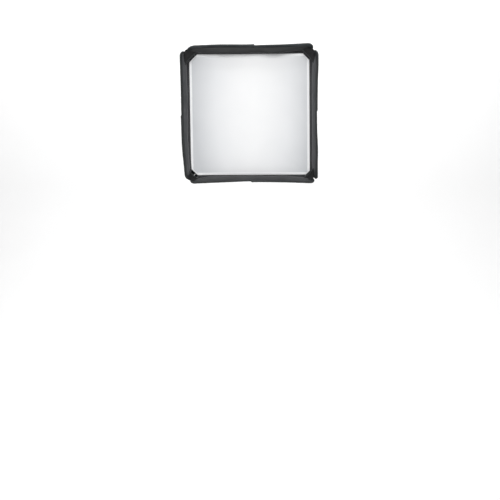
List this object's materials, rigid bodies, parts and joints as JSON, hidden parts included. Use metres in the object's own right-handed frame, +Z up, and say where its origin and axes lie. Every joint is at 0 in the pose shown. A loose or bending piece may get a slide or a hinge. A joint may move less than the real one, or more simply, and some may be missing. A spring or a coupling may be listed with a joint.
{
  "type": "studio softbox",
  "caption": "Square collapsible softbox with a recessed diffuser, turning in a ring on an angle bracket with a tilting stand head.",
  "frame": {"origin": "centre of the stand socket's mouth, at the bottom of the stand head", "axes": "+Z up out of the stand, +X to the right seen from the front, the diffuser faces -Y"},
  "size_m": [0.5468, 0.4442, 0.5468],
  "materials": {
    "black_cloth": "black coated nylon",
    "hem_cloth": "black binding over a spring hoop",
    "silver_cloth": "silver reflective lining",
    "hook_and_loop": "black hook-and-loop tape",
    "white_cloth": "white translucent diffusion cloth",
    "spring_steel": "sprung flat wire",
    "black_paint": "satin black powder coat",
    "alloy": "black anodised alloy",
    "zinc": "zinc plated steel",
    "black_plastic": "fine textured black"
  },
  "bodies": {
    "stand_head": {"socket_body": "black_plastic", "tilt_bolt": "zinc", "left_washer": "zinc", "right_washer": "zinc"},
    "socket_knob": {"socket_knob": "black_plastic"},
    "tilt_lever": {"tilt_lever": "black_plastic"},
    "bracket": {"tilt_block": "black_plastic", "front_mount_screw": "zinc", "rear_mount_screw": "zinc", "angle_bracket": "black_paint"},
    "shoe": {"cold_shoe": "black_plastic"},
    "shoe_wheel": {"shoe_wheel": "zinc"},
    "ring": {"speed_ring": "alloy"},
    "upper_thumbscrew": {"upper_thumbscrew_knob": "black_plastic", "upper_thumbscrew_stud": "zinc"},
    "lower_thumbscrew": {"lower_thumbscrew_knob": "black_plastic", "lower_thumbscrew_stud": "zinc"},
    "ring_lock_screw": {"ring_lock_knob": "black_plastic", "ring_lock_stud": "zinc"},
    "softbox": {"top_panel": "black_cloth", "top_lining": "silver_cloth", "top_hem": "hem_cloth", "top_hoop": "spring_steel", "top_loop_tape": "hook_and_loop", "right_panel": "black_cloth", "right_lining": "silver_cloth", "right_hem": "hem_cloth", "right_hoop": "spring_steel", "right_loop_tape": "hook_and_loop", "bottom_panel": "black_cloth", "bottom_lining": "silver_cloth", "bottom_hem": "hem_cloth", "bottom_hoop": "spring_steel", "bottom_loop_tape": "hook_and_loop", "left_panel": "black_cloth", "left_lining": "silver_cloth", "left_hem": "hem_cloth", "left_hoop": "spring_steel", "left_loop_tape": "hook_and_loop", "top_right_seam": "black_cloth", "top_right_web": "black_cloth", "top_right_baffle_strap": "white_cloth", "bottom_right_seam": "black_cloth", "bottom_right_web": "black_cloth", "bottom_right_baffle_strap": "white_cloth", "bottom_left_seam": "black_cloth", "bottom_left_web": "black_cloth", "bottom_left_baffle_strap": "white_cloth", "top_left_seam": "black_cloth", "top_left_web": "black_cloth", "top_left_baffle_strap": "white_cloth", "baffle_cloth": "white_cloth", "baffle_hem": "white_cloth", "rear_panel": "black_cloth", "box_ring": "black_plastic", "clamp_ring": "black_plastic", "retainer_ring": "black_plastic"},
    "diffuser": {"diffuser_cloth": "white_cloth", "diffuser_hem": "white_cloth", "diffuser_hook_tape": "hook_and_loop"}
  },
  "joints": [
    {"name": "tilt", "type": "hinge", "parent": "stand_head", "child": "bracket", "pos_m": [0, 0, 0.066], "axis": [1, 0, 0], "range_deg": [-60, 60]},
    {"name": "tilt_lever_turn", "type": "hinge", "parent": "stand_head", "child": "tilt_lever", "pos_m": [0.0227, 0, 0.066], "axis": [1, 0, 0], "continuous": true},
    {"name": "socket_knob_turn", "type": "hinge", "parent": "stand_head", "child": "socket_knob", "pos_m": [-0.03, 0, 0.02], "axis": [1, 0, 0], "continuous": true},
    {"name": "ring_height", "type": "slide", "parent": "bracket", "child": "ring", "axis": [0, 0, 1], "range_m": [-0.008, 0.008]},
    {"name": "shoe_slide", "type": "slide", "parent": "bracket", "child": "shoe", "axis": [0, 1, 0], "range_m": [-0.036, 0.032]},
    {"name": "shoe_wheel_turn", "type": "hinge", "parent": "shoe", "child": "shoe_wheel", "pos_m": [0, 0.07, 0.096], "axis": [0, 0, 1], "continuous": true},
    {"name": "upper_thumbscrew_turn", "type": "hinge", "parent": "ring", "child": "upper_thumbscrew", "pos_m": [0, -0.006, 0.144], "axis": [0, 1, 0], "continuous": true},
    {"name": "lower_thumbscrew_turn", "type": "hinge", "parent": "ring", "child": "lower_thumbscrew", "pos_m": [0, -0.006, 0.126], "axis": [0, 1, 0], "continuous": true},
    {"name": "ring_lock_turn", "type": "hinge", "parent": "ring", "child": "ring_lock_screw", "pos_m": [0.06647, -0.018, 0.17353], "axis": [0.7071, 0, -0.7071], "continuous": true},
    {"name": "box_turn", "type": "hinge", "parent": "ring", "child": "softbox", "pos_m": [0, -0.018, 0.24], "axis": [0, 1, 0], "continuous": true},
    {"name": "diffuser_off", "type": "slide", "parent": "softbox", "child": "diffuser", "axis": [0, -1, 0], "range_m": [0, 0.12]}
  ]
}
